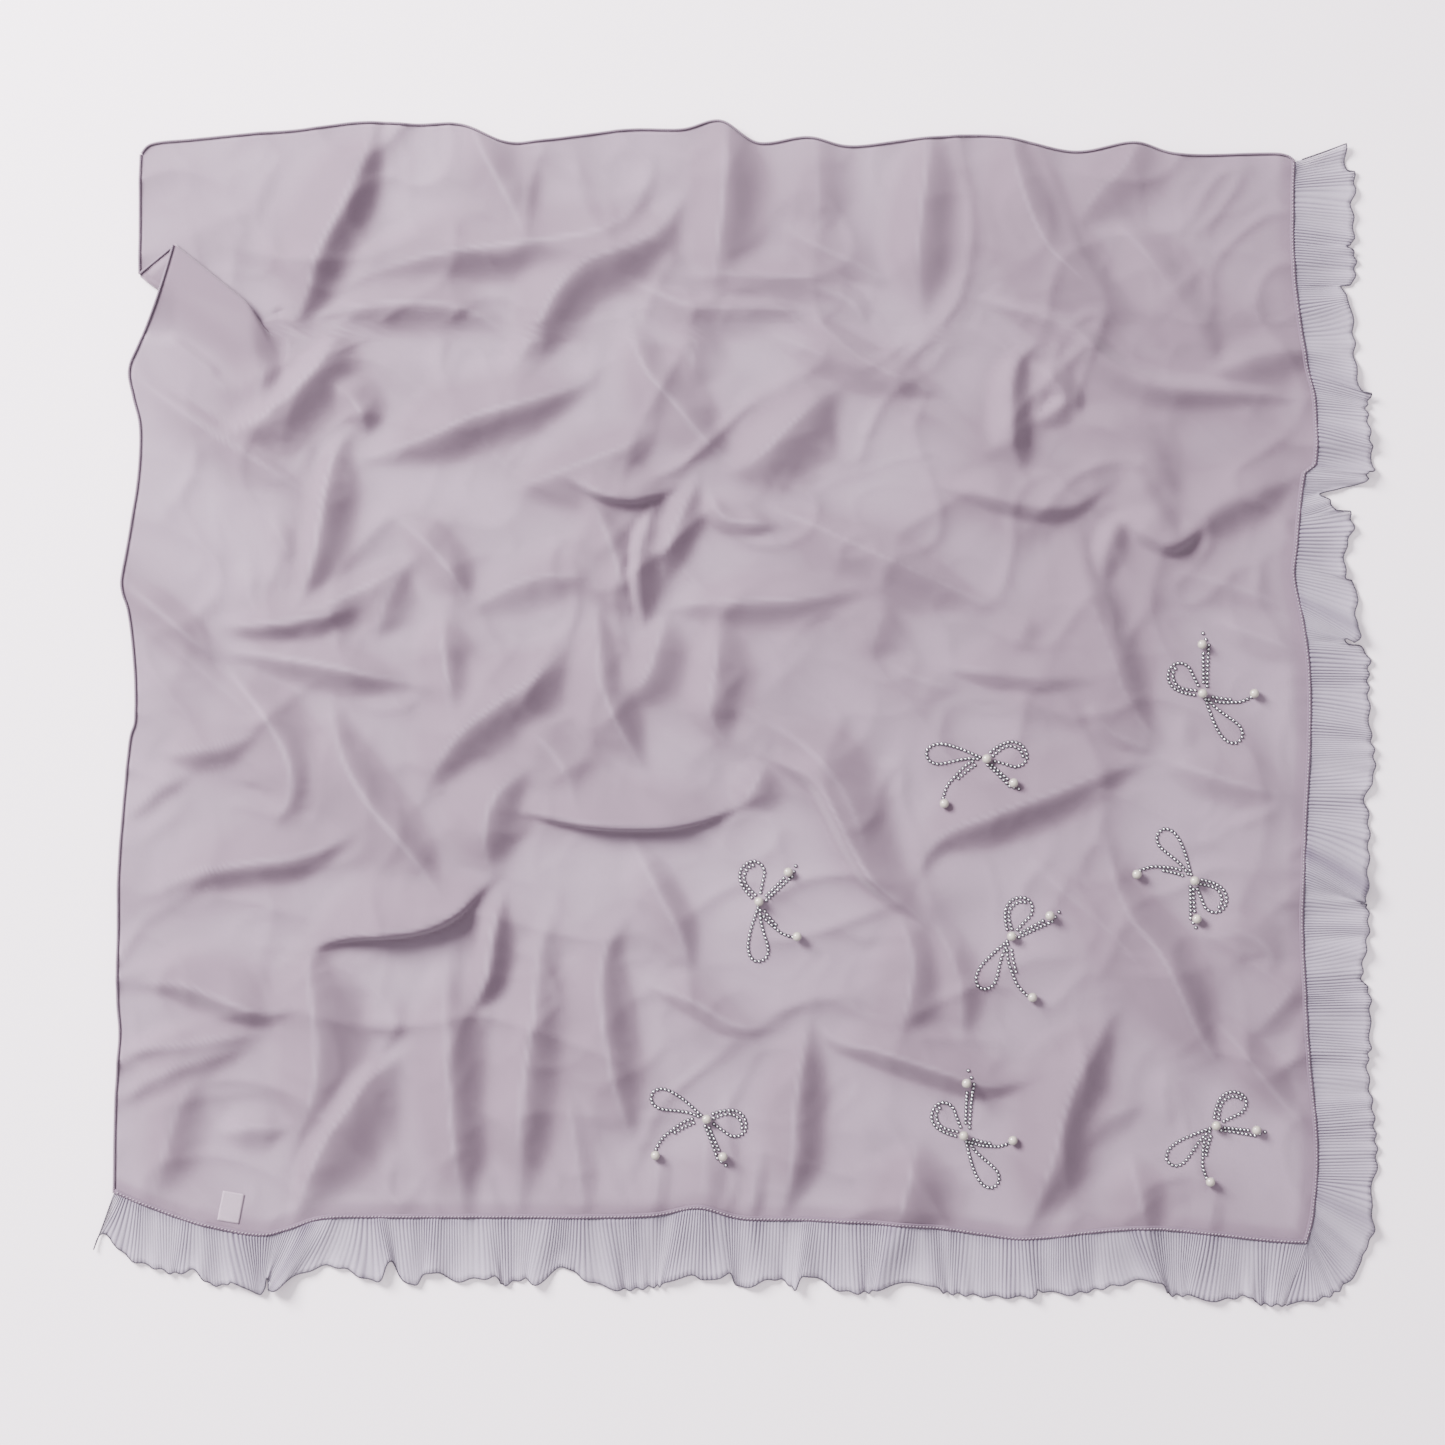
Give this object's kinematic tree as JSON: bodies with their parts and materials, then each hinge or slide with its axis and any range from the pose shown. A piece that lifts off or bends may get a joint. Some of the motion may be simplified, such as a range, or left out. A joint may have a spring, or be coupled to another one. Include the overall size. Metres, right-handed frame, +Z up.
{
  "type": "square scarf",
  "caption": "Square semi-sheer chiffon scarf lying crumpled on a surface, with a crinkled frill along two edges and pearl and stud bows.",
  "frame": {"origin": "on the surface it lies on, under the middle of its outline", "axes": "+Z up from the surface, +Y towards the hemmed top edge, +X towards the frilled right edge"},
  "size_m": [1.1777, 1.0892, 0.0268],
  "materials": {
    "chiffon": "dusty mauve semi-sheer chiffon with a soft sheen",
    "hem_thread": "darker mauve thread, tightly merrowed",
    "frill_cloth": "grey lilac sheer chiffon, finely crinkled",
    "seam_fold": "turned chiffon edge with a twisted stitch line",
    "label": "white translucent woven tab, bare",
    "pearl": "creamy pearl lustre",
    "stud": "small domed silver studs with a dark rim"
  },
  "bodies": {
    "root": {"panel": "chiffon", "rolled_hem_top": "hem_thread", "rolled_hem_left_upper": "hem_thread", "rolled_hem_left_middle": "hem_thread", "rolled_hem_left_lower": "hem_thread", "frill_right": "frill_cloth", "frill_bottom": "frill_cloth", "seam_fold_right": "seam_fold", "seam_fold_bottom": "seam_fold", "care_label": "label", "pearl_01": "pearl", "pearl_02": "pearl", "pearl_03": "pearl", "pearl_04": "pearl", "pearl_05": "pearl", "pearl_06": "pearl", "pearl_07": "pearl", "pearl_08": "pearl", "pearl_09": "pearl", "pearl_10": "pearl", "pearl_11": "pearl", "pearl_12": "pearl", "pearl_13": "pearl", "pearl_14": "pearl", "pearl_15": "pearl", "pearl_16": "pearl", "pearl_17": "pearl", "pearl_18": "pearl", "pearl_19": "pearl", "pearl_20": "pearl", "pearl_21": "pearl", "pearl_22": "pearl", "pearl_23": "pearl", "pearl_24": "pearl"}
  },
  "joints": []
}
